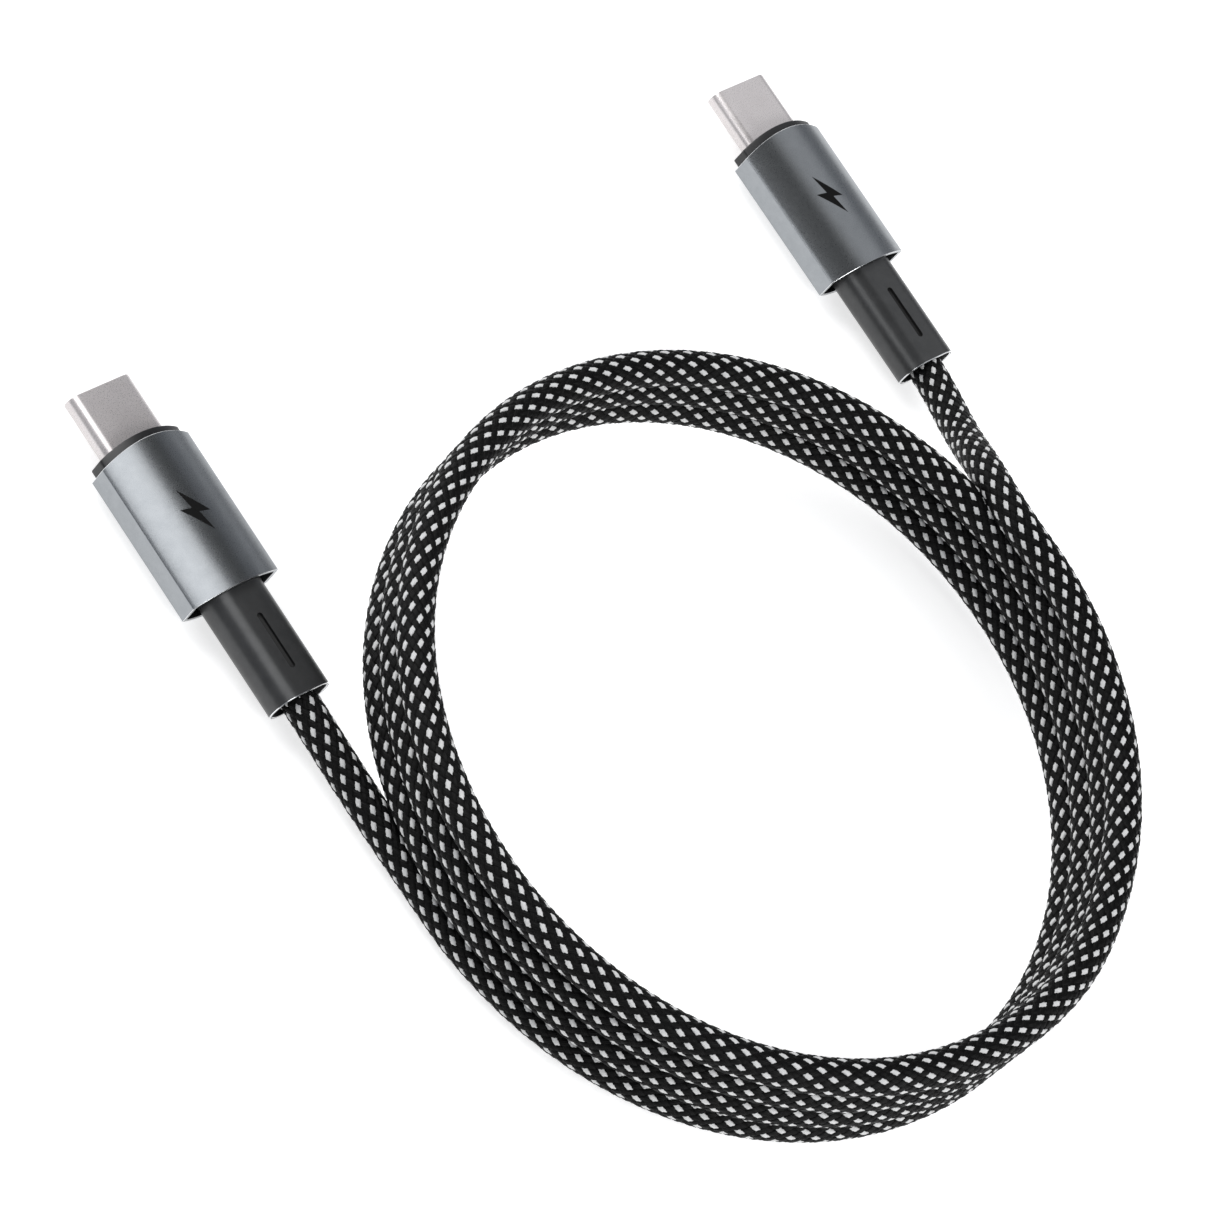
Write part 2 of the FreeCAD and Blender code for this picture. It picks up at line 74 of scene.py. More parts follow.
camera_data = bpy.data.cameras.new("studio_camera")
camera_data.lens = CAMERA_LENS
camera_data.sensor_width = CAMERA_SENSOR
camera_data.clip_start = NEAREST_SEEN
camera_data.clip_end = FARTHEST_SEEN
camera = bpy.data.objects.new("studio_camera", camera_data)
camera.matrix_world = camera_place @ camera_axes
bpy.context.scene.collection.objects.link(camera)
bpy.context.scene.camera = camera


# ------------------------------------------------------------------ floor and lights
# A white sweep, lit through from behind, lies under two large softboxes at the sides.
# Small cards close to the plugs are seen only in their reflections: a white one over
# plug a, and a black and a grey one over plug b.
FLOOR_SIZE = 6.0
ROOM_GREY = (0.24, 0.25, 0.27, 1.0)
FLOOR_GLOW = 0.70
SOFTBOX_SIDE = 0.8
SOFTBOX_POWER = 10.5
WHITE_CARD_SIZE = (0.16, 0.082)
WHITE_CARD_POWER = 0.070
GREY_CARD_SIZE = (0.12, 0.066)
GREY_CARD_POWER = 0.010
BLACK_CARD_HALF = 0.0745
BLACK_CARD_PLACE = (-0.065, 0.0375, 0.15)


def grain_group():
    """Slow cloudy tone and fine grain, in object coordinates, for every plain finish."""
    group = bpy.data.node_groups.new("fine_grain", "ShaderNodeTree")
    for name, start in (("Cloud Scale", 300.0), ("Grain Scale", 9000.0)):
        socket = group.interface.new_socket(name, in_out="INPUT", socket_type="NodeSocketFloat")
        socket.default_value = start
    for name in ("Cloud", "Grain"):
        group.interface.new_socket(name, in_out="OUTPUT", socket_type="NodeSocketFloat")
    entry = group.nodes.new("NodeGroupInput")
    leave = group.nodes.new("NodeGroupOutput")
    where = group.nodes.new("ShaderNodeTexCoord")
    for name, detail in (("Cloud", 3.0), ("Grain", 2.0)):
        noise = group.nodes.new("ShaderNodeTexNoise")
        noise.inputs["Detail"].default_value = detail
        noise.inputs["Roughness"].default_value = 0.6
        group.links.new(where.outputs["Object"], noise.inputs["Vector"])
        group.links.new(entry.outputs[f"{name} Scale"], noise.inputs["Scale"])
        group.links.new(noise.outputs["Fac"], leave.inputs[name])
    return group


fine_grain = grain_group()


def grained(name, dark, light, rough, metallic=0.0, cloud=300.0, grain=9000.0, depth=0.004):
    """A finish whose tone and gloss wander between two values, with a fine bump in mm."""
    finish = bpy.data.materials.new(name)
    finish.use_nodes = True
    tree = finish.node_tree
    shader = tree.nodes["Principled BSDF"]
    shader.inputs["Metallic"].default_value = metallic
    source = tree.nodes.new("ShaderNodeGroup")
    source.node_tree = fine_grain
    source.inputs["Cloud Scale"].default_value = cloud
    source.inputs["Grain Scale"].default_value = grain
    tone = tree.nodes.new("ShaderNodeMix")
    tone.data_type = "RGBA"
    tone.inputs["A"].default_value = (*dark, 1.0)
    tone.inputs["B"].default_value = (*light, 1.0)
    tree.links.new(source.outputs["Cloud"], tone.inputs["Factor"])
    tree.links.new(tone.outputs["Result"], shader.inputs["Base Color"])
    gloss = tree.nodes.new("ShaderNodeMapRange")
    gloss.inputs["From Min"].default_value = 0.3
    gloss.inputs["From Max"].default_value = 0.7
    gloss.inputs["To Min"].default_value = rough[0]
    gloss.inputs["To Max"].default_value = rough[1]
    tree.links.new(source.outputs["Grain"], gloss.inputs["Value"])
    tree.links.new(gloss.outputs["Result"], shader.inputs["Roughness"])
    bump = tree.nodes.new("ShaderNodeBump")
    bump.inputs["Strength"].default_value = 1.0
    bump.inputs["Distance"].default_value = depth * MM
    tree.links.new(source.outputs["Grain"], bump.inputs["Height"])
    tree.links.new(bump.outputs["Normal"], shader.inputs["Normal"])
    return finish


floor_shape = bmesh.new()
bmesh.ops.create_grid(floor_shape, x_segments=2, y_segments=2, size=FLOOR_SIZE / 2)
floor_mesh = bpy.data.meshes.new("studio_floor")
floor_shape.to_mesh(floor_mesh)
floor_shape.free()
floor = bpy.data.objects.new("studio_floor", floor_mesh)
white_sweep = grained(
    "white_sweep", (0.60, 0.60, 0.60), (0.64, 0.64, 0.64), (0.85, 0.95), cloud=4.0, grain=900.0)
sweep_shader = white_sweep.node_tree.nodes["Principled BSDF"]
sweep_shader.inputs["Emission Color"].default_value = (1.0, 1.0, 1.0, 1.0)
sweep_shader.inputs["Emission Strength"].default_value = FLOOR_GLOW
floor.data.materials.append(white_sweep)
bpy.context.scene.collection.objects.link(floor)


def softbox(name, place, toward, size, power, reflection_only=False):
    """An evenly lit panel that faces a point and is never seen by the camera itself."""
    lamp = bpy.data.lights.new(name, "AREA")
    lamp.shape = "RECTANGLE"
    lamp.size, lamp.size_y = size
    lamp.energy = power
    panel = bpy.data.objects.new(name, lamp)
    heading = (Vector(toward) - Vector(place)).to_track_quat("-Z", "Y")
    panel.matrix_world = Matrix.Translation(place) @ heading.to_matrix().to_4x4()
    panel.visible_camera = False
    panel.visible_diffuse = not reflection_only
    bpy.context.scene.collection.objects.link(panel)


softbox_size = (SOFTBOX_SIDE, SOFTBOX_SIDE)
softbox("softbox_left", (-0.95, -0.15, 0.75), (0, 0, 0), softbox_size, SOFTBOX_POWER)
softbox("softbox_right", (1.0, 0.15, 0.70), (0, 0, 0), softbox_size, SOFTBOX_POWER)
softbox("white_card_a", (-0.035, -0.064, 0.10), (-0.035, -0.064, 0),
        WHITE_CARD_SIZE, WHITE_CARD_POWER, reflection_only=True)
softbox("grey_card_b", (-0.045, 0.092, 0.05), (-0.045, 0.092, 0),
        GREY_CARD_SIZE, GREY_CARD_POWER, reflection_only=True)

card_shape = bmesh.new()
bmesh.ops.create_grid(card_shape, x_segments=1, y_segments=1, size=BLACK_CARD_HALF)
bmesh.ops.translate(card_shape, vec=BLACK_CARD_PLACE, verts=card_shape.verts)
card_mesh = bpy.data.meshes.new("black_card_b")
card_shape.to_mesh(card_mesh)
card_shape.free()
black_card = bpy.data.objects.new("black_card_b", card_mesh)
black_card.data.materials.append(grained(
    "black_card", (0.010, 0.010, 0.010), (0.016, 0.016, 0.016), (0.85, 0.95), cloud=20.0))
black_card.visible_camera = False
black_card.visible_diffuse = False
black_card.visible_shadow = False
bpy.context.scene.collection.objects.link(black_card)

world = bpy.data.worlds.new("studio_room")
world.use_nodes = True
world.node_tree.nodes["Background"].inputs["Color"].default_value = ROOM_GREY
bpy.context.scene.world = world
bpy.context.scene.view_settings.view_transform = "Standard"


# ------------------------------------------------------------------ cable jacket
# The cable is one length: conductors and a strip of magnets in a soft black jacket.
# It is crimped inside each plug, leaves straight through the strain relief, and is
# wound upwards into a round coil whose turns hold to each other.
CORD_DIAMETER = 4.0 * MM
JACKET_RADIUS = 1.70 * MM
COIL_CENTRE = Vector((11.8, -5.9, 0.0)) * MM
COIL_RADIUS = 41.0 * MM
COIL_START = math.radians(-90.0)
COIL_TURNS = 3.0 + 120.0 / 360.0
COIL_POINTS_PER_TURN = 24
CURVE_STEPS = 16
JACKET_ROUNDNESS = 3

# from the crimp in plug a, out of its strain relief and down to the coil
LEAD_A = ((-33.0, -47.9, 3.15), (-20.0, -47.9, 3.15), (-13.85, -47.9, 3.15),
          (-2.0, -47.75, 2.6), (8.5, -47.1, 2.0))
# along the top turn, then steeply down to the strain relief of plug b and its crimp
LEAD_B = ((42.6, 20.8, 15.8), (33.2, 28.8, 15.8), (23.2, 33.3, 15.9), (14.3, 34.9, 16.0),
          (5.6, 34.5, 16.1), (-1.4, 37.6, 13.3), (-7.0, 43.9, 6.2), (-14.3, 47.8, 3.15),
          (-22.0, 47.9, 3.15), (-35.5, 47.9, 3.15))

coil_step = 2 * math.pi / COIL_POINTS_PER_TURN
control_radius = COIL_RADIUS / math.cos(coil_step / 2)
coil_route = []
for number in range(int(COIL_TURNS * COIL_POINTS_PER_TURN)):
    turned = coil_step * (number + 0.5)
    angle = COIL_START + turned
    height = CORD_DIAMETER / 2 + CORD_DIAMETER * turned / (2 * math.pi)
    level = Vector((math.cos(angle), math.sin(angle), 0.0)) * control_radius
    coil_route.append(COIL_CENTRE + level + Vector((0.0, 0.0, height)))

route = [Vector(point) * MM for point in LEAD_A] + coil_route
route += [Vector(point) * MM for point in LEAD_B]

cord_curve = bpy.data.curves.new("cable_jacket", "CURVE")
cord_curve.dimensions = "3D"
cord_curve.resolution_u = CURVE_STEPS
spline = cord_curve.splines.new("NURBS")
spline.points.add(len(route) - 1)
for control, place in zip(spline.points, route):
    control.co = (*place, 1.0)
spline.order_u = 3
spline.use_endpoint_u = True
jacket = bpy.data.objects.new("cable_jacket", cord_curve)
bpy.context.scene.collection.objects.link(jacket)
# the bare line is read before it gets its thickness, for the sleeve to be woven round
line_mesh = bpy.data.meshes.new_from_object(jacket)
cord_line = np.array([vertex.co[:] for vertex in line_mesh.vertices])
bpy.data.meshes.remove(line_mesh)
cord_curve.bevel_depth = JACKET_RADIUS
cord_curve.bevel_resolution = JACKET_ROUNDNESS
cord_curve.use_fill_caps = True
jacket.data.materials.append(grained(
    "black_jacket", (0.010, 0.010, 0.011), (0.018, 0.018, 0.019), (0.55, 0.7)))
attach(jacket, "cable")
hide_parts("cord_coil", "lead_a", "lead_b", "cable_end_a", "cable_end_b")


# ------------------------------------------------------------------ woven sleeve
# Fourteen flat yarns run round the jacket each way, one over and one under.  All are
# black but every second one of the right-handed set, which is pale grey, so it shows
# as rows of pale diamonds.
YARNS = 14
ROW = 0.70 * MM
RINGS_PER_ROW = 2
YARN_TURN = 2 * YARNS * ROW
PALE_HALF_WIDTH = 0.33 * MM
RIGHT_HALF_WIDTH = 0.365 * MM
LEFT_HALF_WIDTH = 0.45 * MM
YARN_END = 0.4 * MM
YARN_CROWN = 0.085 * MM
YARN_EDGE = -0.045 * MM
WEAVE_RISE = 0.085 * MM
YARN_LOOSENESS = 0.006 * MM
YARN_MAP_OFFSET = 3.7
WEAVE_RADIUS = CORD_DIAMETER / 2 - YARN_CROWN - WEAVE_RISE
YARN_LEAN = math.atan(2 * math.pi * WEAVE_RADIUS / YARN_TURN)
YARN_SECTION = ((-1.0, YARN_EDGE), (-0.5, YARN_CROWN), (0.5, YARN_CROWN), (1.0, YARN_EDGE))
YARN_ACROSS = (0.0, 0.3, 0.7, 1.0, 0.0)

steps = np.linalg.norm(np.diff(cord_line, axis=0), axis=1)
reach = np.concatenate(([0.0], np.cumsum(steps)))
cord_length = float(reach[-1])
rings = round(cord_length / ROW) * RINGS_PER_ROW + 1
ring_at = np.linspace(YARN_END, cord_length - YARN_END, rings)
row_at = np.arange(rings) / RINGS_PER_ROW
middle = np.stack([np.interp(ring_at, reach, cord_line[:, axis]) for axis in range(3)], axis=1)
ahead = np.gradient(middle, axis=0)
ahead /= np.linalg.norm(ahead, axis=1)[:, None]
# a direction across the cord that is carried along it without twisting
across = np.zeros_like(middle)
carried = np.array([0.0, 0.0, 1.0])
for number, heading in enumerate(ahead):
    carried = carried - heading * (carried @ heading)
    carried /= np.linalg.norm(carried)
    across[number] = carried
upright = np.cross(ahead, across)
loose = np.random.default_rng(14)


def read_along(values, shift):
    """Values kept for each ring, read a little further along the cord."""
    return np.stack([np.interp(ring_at + shift, ring_at, column) for column in values.T], axis=1)


def yarn_mesh(name, hand, numbers, half_width):
    """Yarns of one hand, +1 or -1, as closed lens-shaped bands along the whole cord.

    Each ring of a band lies along the yarn that it crosses there.
    """
    points, corners, uv = [], [], []
    sides = len(YARN_SECTION)
    ring_corners = np.arange(rings - 1)[:, None] * sides
    ring_half = half_width / math.sin(2 * YARN_LEAN)
    for count, number in enumerate(numbers):
        turned = 2 * np.pi * number / YARNS + hand * 2 * np.pi * row_at * ROW / YARN_TURN
        rise = hand * WEAVE_RISE * np.cos(np.pi * row_at)
        rise += loose.normal(0.0, YARN_LOOSENESS, rings)
        ribbon = []
        for side, level in YARN_SECTION:
            shift = -hand * ring_half * math.cos(YARN_LEAN) * side
            turn = turned + ring_half * math.sin(YARN_LEAN) / WEAVE_RADIUS * side
            outward = (np.cos(turn)[:, None] * read_along(across, shift)
                       + np.sin(turn)[:, None] * read_along(upright, shift))
            ribbon.append(read_along(middle, shift)
                          + outward * (WEAVE_RADIUS + rise + level)[:, None])
        points.append(np.stack(ribbon, axis=1).reshape(-1, 3))
        base = count * rings * sides
        for edge in range(sides):
            after = (edge + 1) % sides
            quads = np.concatenate((
                ring_corners + edge, ring_corners + after,
                ring_corners + after + sides, ring_corners + edge + sides), axis=1)
            corners.append(base + quads)
            start, end = YARN_ACROSS[edge], YARN_ACROSS[edge + 1]
            back = row_at[:-1] + number * YARN_MAP_OFFSET
            front = row_at[1:] + number * YARN_MAP_OFFSET
            uv.append(np.stack((
                np.full(rings - 1, start), back, np.full(rings - 1, end), back,
                np.full(rings - 1, end), front, np.full(rings - 1, start), front), axis=1))
    faces = np.concatenate(corners)
    mesh = bpy.data.meshes.new(name)
    mesh.from_pydata(np.concatenate(points), [], faces)
    layer = mesh.uv_layers.new(name="yarn")
    layer.data.foreach_set("uv", np.concatenate(uv).astype(np.float32).ravel())
    ends = bmesh.new()
    ends.from_mesh(mesh)
    rims = [edge for edge in ends.edges if edge.is_boundary]
    bmesh.ops.holes_fill(ends, edges=rims, sides=sides)
    bmesh.ops.recalc_face_normals(ends, faces=ends.faces)
    ends.to_mesh(mesh)
    ends.free()
    mesh.shade_smooth()
    return mesh


def yarn_finish(name, dark, light, rough, sheen, shine):
    """Bundled filaments that run along the yarn, from the yarn's own map."""
    finish = bpy.data.materials.new(name)
    finish.use_nodes = True
    tree = finish.node_tree
    shader = tree.nodes["Principled BSDF"]
    shader.inputs["Sheen Weight"].default_value = sheen
    shader.inputs["Sheen Roughness"].default_value = 0.4
    shader.inputs["Specular IOR Level"].default_value = shine
    where = tree.nodes.new("ShaderNodeUVMap")
    where.uv_map = "yarn"
    filaments = tree.nodes.new("ShaderNodeTexWave")
    filaments.bands_direction = "X"
    filaments.inputs["Scale"].default_value = 2.0
    filaments.inputs["Distortion"].default_value = 1.2
    filaments.inputs["Detail"].default_value = 2.0
    filaments.inputs["Detail Scale"].default_value = 1.5
    tree.links.new(where.outputs["UV"], filaments.inputs["Vector"])
    source = tree.nodes.new("ShaderNodeGroup")
    source.node_tree = fine_grain
    source.inputs["Cloud Scale"].default_value = 700.0
    blend = tree.nodes.new("ShaderNodeMath")
    blend.operation = "MULTIPLY"
    tree.links.new(filaments.outputs["Fac"], blend.inputs[0])
    tree.links.new(source.outputs["Cloud"], blend.inputs[1])
    tone = tree.nodes.new("ShaderNodeMix")
    tone.data_type = "RGBA"
    tone.inputs["A"].default_value = (*dark, 1.0)
    tone.inputs["B"].default_value = (*light, 1.0)
    tree.links.new(blend.outputs["Value"], tone.inputs["Factor"])
    tree.links.new(tone.outputs["Result"], shader.inputs["Base Color"])
    gloss = tree.nodes.new("ShaderNodeMapRange")
    gloss.inputs["To Min"].default_value = rough[0]
    gloss.inputs["To Max"].default_value = rough[1]
    tree.links.new(source.outputs["Grain"], gloss.inputs["Value"])
    tree.links.new(gloss.outputs["Result"], shader.inputs["Roughness"])
    bump = tree.nodes.new("ShaderNodeBump")
    bump.inputs["Strength"].default_value = 1.0
    bump.inputs["Distance"].default_value = 0.02 * MM
    tree.links.new(filaments.outputs["Fac"], bump.inputs["Height"])
    tree.links.new(bump.outputs["Normal"], shader.inputs["Normal"])
    return finish


black_yarn = yarn_finish(
    "black_yarn", (0.001, 0.001, 0.001), (0.005, 0.005, 0.005), (0.42, 0.58), 0.0, 0.12)
pale_yarn = yarn_finish(
    "pale_yarn", (0.62, 0.62, 0.615), (0.95, 0.95, 0.94), (0.45, 0.65), 0.1, 0.5)
yarn_sets = (
    ("pale_yarns", 1, range(0, YARNS, 2), PALE_HALF_WIDTH, pale_yarn),
    ("black_yarns_right", 1, range(1, YARNS, 2), RIGHT_HALF_WIDTH, black_yarn),
    ("black_yarns_left_1", -1, range(0, YARNS, 2), LEFT_HALF_WIDTH, black_yarn),
    ("black_yarns_left_2", -1, range(1, YARNS, 2), LEFT_HALF_WIDTH, black_yarn),
)
for name, hand, numbers, half_width, finish in yarn_sets:
    yarns = bpy.data.objects.new(name, yarn_mesh(name, hand, numbers, half_width))
    yarns.data.materials.append(finish)
    bpy.context.scene.collection.objects.link(yarns)
    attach(yarns, "cable")


# ------------------------------------------------------------------ aluminium casings
# Each plug's body is a short length of drawn aluminium tube with flat sides and domed
# faces.  It is blasted and anodised grey, its front edge is milled to a crown, and both
# rims are then chamfered bright.
CASING_WIDTH = 11.5 * MM
CASING_SIDE = 2.8 * MM
CASING_RISE = 1.75 * MM
CASING_WALL = 0.45 * MM
CASING_LENGTH = 17.1 * MM
CASING_CROWN = 0.85 * MM
CROWN_RADIUS = (CASING_WIDTH ** 2 / 4 + CASING_CROWN ** 2) / (2 * CASING_CROWN)
CORNER_ROUND = 0.06 * MM
RIM_CHAMFER = 0.18 * MM
SMOOTH_BELOW = math.radians(32)
ROUND_SEGMENTS = 3
CORNER_TURN = 20
RIM_TURN = 60
PLUGS = ("a", "b")

# a plug's own frame has X from the casing's rear face towards the mouth
plug_place = {}
for plug in PLUGS:
    low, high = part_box(f"casing_{plug}")
    rear = Vector((high.x, (low.y + high.y) / 2, (low.z + high.z) / 2))
    plug_place[plug] = Matrix.Translation(rear) @ Matrix.Rotation(math.pi, 4, "Z")


def domed_outline(width, side, rise, arc_steps=28, side_steps=4):
    """Two upright flat sides joined by a shallow arc above and below, as (y, z)."""
    half = width / 2
    radius = (half ** 2 + rise ** 2) / (2 * rise)
    spread = math.asin(half / radius)
    middle_z = side / 2 + rise - radius
    outline = []
    for sign in (1, -1):
        for step in range(arc_steps + 1):
            turn = spread * (1 - 2 * step / arc_steps)
            outline.append((sign * radius * math.sin(turn),
                            sign * (middle_z + radius * math.cos(turn))))
        for step in range(1, side_steps):
            outline.append((-sign * half, sign * side * (0.5 - step / side_steps)))
    return outline


def crowned(distance):
    """Where the crowned front edge is at each place across the casing."""
    middle_x = CASING_LENGTH + CASING_CROWN - CROWN_RADIUS
    return lambda y: middle_x + math.sqrt((CROWN_RADIUS + distance) ** 2 - y ** 2)


def tube_through(stations):
    """A closed wall through a ring of outlines, each at its place along the plug.

    Outlines with as many corners as each other start at the same corner, so they are
    joined corner to corner, and others are bridged.
    """
    shape = bmesh.new()
    rounds = []
    for outline, along in stations:
        place = along if callable(along) else lambda y, fixed=along: fixed
        verts = [shape.verts.new((place(y), y, z)) for y, z in outline]
        edges = [shape.edges.new((verts[at - 1], verts[at])) for at in range(len(verts))]
        rounds.append((verts, edges))
    for number, (verts, edges) in enumerate(rounds):
        before, before_edges = rounds[number - 1]
        if len(before) == len(verts):
            for at in range(len(verts)):
                shape.faces.new((before[at - 1], before[at], verts[at], verts[at - 1]))
        else:
            bmesh.ops.bridge_loops(shape, edges=before_edges + edges)
    bmesh.ops.recalc_face_normals(shape, faces=shape.faces)
    return shape


def soften(shape, edges, width, segments):
    """Round or chamfer some edges, and give back the new faces."""
    made = bmesh.ops.bevel(
        shape, geom=edges, offset=width, offset_type="OFFSET", segments=segments,
        profile=0.5, affect="EDGES", material=-1, clamp_overlap=True)
    return made["faces"]


def sharp_edges(shape, degrees, wanted=lambda edge: True):
    """The wanted edges whose two faces turn by more than so many degrees."""
    limit = math.radians(degrees)
    return [edge for edge in shape.edges
            if len(edge.link_faces) == 2 and edge.calc_face_angle(0) > limit and wanted(edge)]


def finished(name, plug, shape, finishes, replaced, body="cable"):
    """Lay a plug piece in its place, with its finishes, its body and its CAD node."""
    shape.transform(plug_place[plug])
    mesh = bpy.data.meshes.new(name)
    shape.to_mesh(mesh)
    shape.free()
    mesh.shade_smooth()
    mesh.set_sharp_from_angle(angle=SMOOTH_BELOW)
    piece = bpy.data.objects.new(name, mesh)
    for finish in finishes:
        piece.data.materials.append(finish)
    bpy.context.scene.collection.objects.link(piece)
    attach(piece, body)
    if replaced:
        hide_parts(replaced)
    return piece


blasted_grey = grained(
    "blasted_grey", (0.27, 0.285, 0.30), (0.35, 0.365, 0.38), (0.25, 0.33), metallic=1.0,
    cloud=900.0, grain=14000.0, depth=0.0030)
# bright metal of the casings' chamfered rims, also laid on the sleeves' back rims as a painted
# highlight
bright_chamfer_and_painted_highlight = grained(
    "bright_chamfer_and_painted_highlight", (0.78, 0.79, 0.80), (0.86, 0.87, 0.88), (0.16, 0.22), metallic=1.0,
    depth=0.0005)

CASING_OUTSIDE = domed_outline(CASING_WIDTH, CASING_SIDE, CASING_RISE)
INSIDE_SIDE = CASING_SIDE - 0.5 * CASING_WALL
INSIDE_RISE = CASING_RISE - 0.8 * CASING_WALL
CASING_INSIDE = domed_outline(CASING_WIDTH - 2 * CASING_WALL, INSIDE_SIDE, INSIDE_RISE)


def along_the_plug(edge):
    """Whether an edge runs lengthways, so that it is a corner and not a rim."""
    return abs((edge.verts[1].co - edge.verts[0].co).normalized().x) > 0.9


for plug in PLUGS:
    shape = tube_through((
        (CASING_OUTSIDE, 0.0), (CASING_OUTSIDE, crowned(0.0)),
        (CASING_INSIDE, crowned(0.0)), (CASING_INSIDE, 0.0)))
    corners = sharp_edges(shape, CORNER_TURN, along_the_plug)
    soften(shape, corners, CORNER_ROUND, ROUND_SEGMENTS)
    rims = sharp_edges(shape, RIM_TURN, lambda edge: not along_the_plug(edge))
    for face in soften(shape, rims, RIM_CHAMFER, 1):
        face.material_index = 1
    finished(f"casing_shell_{plug}", plug, shape, (blasted_grey, bright_chamfer_and_painted_highlight),
             f"casing_{plug}")


# ------------------------------------------------------------------ engraved mark
# A plain lightning bolt, which says that the plug carries power.  It is burnt into the
# top of the casing by laser, so it is a thin matt black layer that follows the dome.
BOLT_OUTLINE = ((2.7, 0.75), (-0.6, -1.6), (-0.33, -0.27), (-2.7, -0.75),
                (0.6, 1.6), (0.33, 0.27))
BOLT_HALF = max(y for x, y in BOLT_OUTLINE)
BOLT_MIDDLE = 8.9 * MM
BOLT_LAYER = 0.03 * MM
BOLT_SUNK = 0.6 * BOLT_LAYER
BOLT_CUTS = 8
laser_black = grained(
    "laser_black", (0.002, 0.002, 0.002), (0.005, 0.005, 0.005), (0.6, 0.75), depth=0.003)
laser_black.node_tree.nodes["Principled BSDF"].inputs["Specular IOR Level"].default_value = 0.12
dome_radius = (CASING_WIDTH ** 2 / 4 + CASING_RISE ** 2) / (2 * CASING_RISE)
dome_middle = CASING_SIDE / 2 + CASING_RISE - dome_radius

for plug in PLUGS:
    shape = bmesh.new()
    corners = [shape.verts.new((BOLT_MIDDLE + x * MM, y * MM, 0.0)) for x, y in BOLT_OUTLINE]
    shape.faces.new(corners)
    for cut in range(1, BOLT_CUTS):
        line_y = (2 * cut / BOLT_CUTS - 1) * BOLT_HALF * MM
        bmesh.ops.bisect_plane(
            shape, geom=shape.verts[:] + shape.edges[:] + shape.faces[:],
            plane_co=(0.0, line_y, 0.0), plane_no=(0.0, 1.0, 0.0))
    raised = bmesh.ops.extrude_face_region(shape, geom=shape.faces[:])
    top = [item for item in raised["geom"] if isinstance(item, bmesh.types.BMVert)]
    bmesh.ops.translate(shape, verts=top, vec=(0.0, 0.0, BOLT_LAYER))
    for vert in shape.verts:
        dome = dome_middle + math.sqrt(dome_radius ** 2 - vert.co.y ** 2)
        vert.co.z += dome - BOLT_SUNK
    bmesh.ops.recalc_face_normals(shape, faces=shape.faces)
    finished(f"power_mark_{plug}", plug, shape, (laser_black,), None)


# ------------------------------------------------------------------ nose collars
# A moulded black plastic ring closes the front of the casing and stands a little proud
# of it.  The shell comes out through its middle.
COLLAR_START = 14.6 * MM
COLLAR_REACH = 0.9 * MM
COLLAR_CORNER_ROUND = 0.2 * MM
COLLAR_FRONT_ROUND = 0.14 * MM
SHELL_WIDTH = 8.25 * MM
SHELL_HEIGHT = 2.4 * MM
SHELL_CORNER = 1.15 * MM
CLOSE_GAP = 0.02 * MM
NEAR_THE_RIM = 0.1 * MM


def rounded_outline(width, height, corner, arc_steps=10):
    """A rounded rectangle about the plug's axis, as (y, z)."""
    outline = []
    for quarter, (side_y, side_z) in enumerate(((1, -1), (1, 1), (-1, 1), (-1, -1))):
        for step in range(arc_steps + 1):
            turn = (quarter - 1 + step / arc_steps) * math.pi / 2
            outline.append((side_y * (width / 2 - corner) + corner * math.cos(turn),
                            side_z * (height / 2 - corner) + corner * math.sin(turn)))
    return outline


satin_black = grained(
    "satin_black", (0.006, 0.006, 0.007), (0.012, 0.012, 0.013), (0.34, 0.44), depth=0.002)
low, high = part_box("nose_collar_a")
COLLAR_WIDTH = high.y - low.y
COLLAR_HEIGHT = high.z - low.z
COLLAR_SIDE = 2.3 * MM
COLLAR_OUTSIDE = domed_outline(COLLAR_WIDTH, COLLAR_SIDE, (COLLAR_HEIGHT - COLLAR_SIDE) / 2)
SHELL_HOLE = rounded_outline(
    SHELL_WIDTH + 2 * CLOSE_GAP, SHELL_HEIGHT + 2 * CLOSE_GAP, SHELL_CORNER + CLOSE_GAP)

for plug in PLUGS:
    shape = tube_through((
        (COLLAR_OUTSIDE, COLLAR_START), (COLLAR_OUTSIDE, crowned(COLLAR_REACH)),
        (SHELL_HOLE, crowned(COLLAR_REACH)), (SHELL_HOLE, COLLAR_START)))
    corners = sharp_edges(shape, CORNER_TURN, along_the_plug)
    soften(shape, corners, COLLAR_CORNER_ROUND, ROUND_SEGMENTS)
    front = sharp_edges(shape, RIM_TURN, lambda edge: not along_the_plug(edge)
                        and min(vert.co.x for vert in edge.verts)
                        > COLLAR_START + NEAR_THE_RIM)
    soften(shape, front, COLLAR_FRONT_ROUND, ROUND_SEGMENTS)
    finished(f"nose_ring_{plug}", plug, shape, (satin_black,),
             f"nose_collar_{plug}")


# ------------------------------------------------------------------ USB-C shells
# The shell is deep drawn from thin stainless steel and nickel plated, with a satin
# face and a rolled front rim.
SHELL_WALL = 0.25 * MM
SHELL_LENGTH = 11.5 * MM
SHELL_RIM_ROUND = 0.1 * MM
low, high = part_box("plug_shell_a")
SHELL_TIP = (plug_place["a"].inverted() @ Vector((low.x, 0, 0))).x
satin_nickel = grained(
    "satin_nickel", (0.64, 0.60, 0.595), (0.76, 0.72, 0.715), (0.25, 0.34), metallic=0.6,
    cloud=450.0, grain=11000.0, depth=0.0012)
SHELL_OUTSIDE = rounded_outline(SHELL_WIDTH, SHELL_HEIGHT, SHELL_CORNER)
SHELL_INSIDE = rounded_outline(
    SHELL_WIDTH - 2 * SHELL_WALL, SHELL_HEIGHT - 2 * SHELL_WALL, SHELL_CORNER - SHELL_WALL)

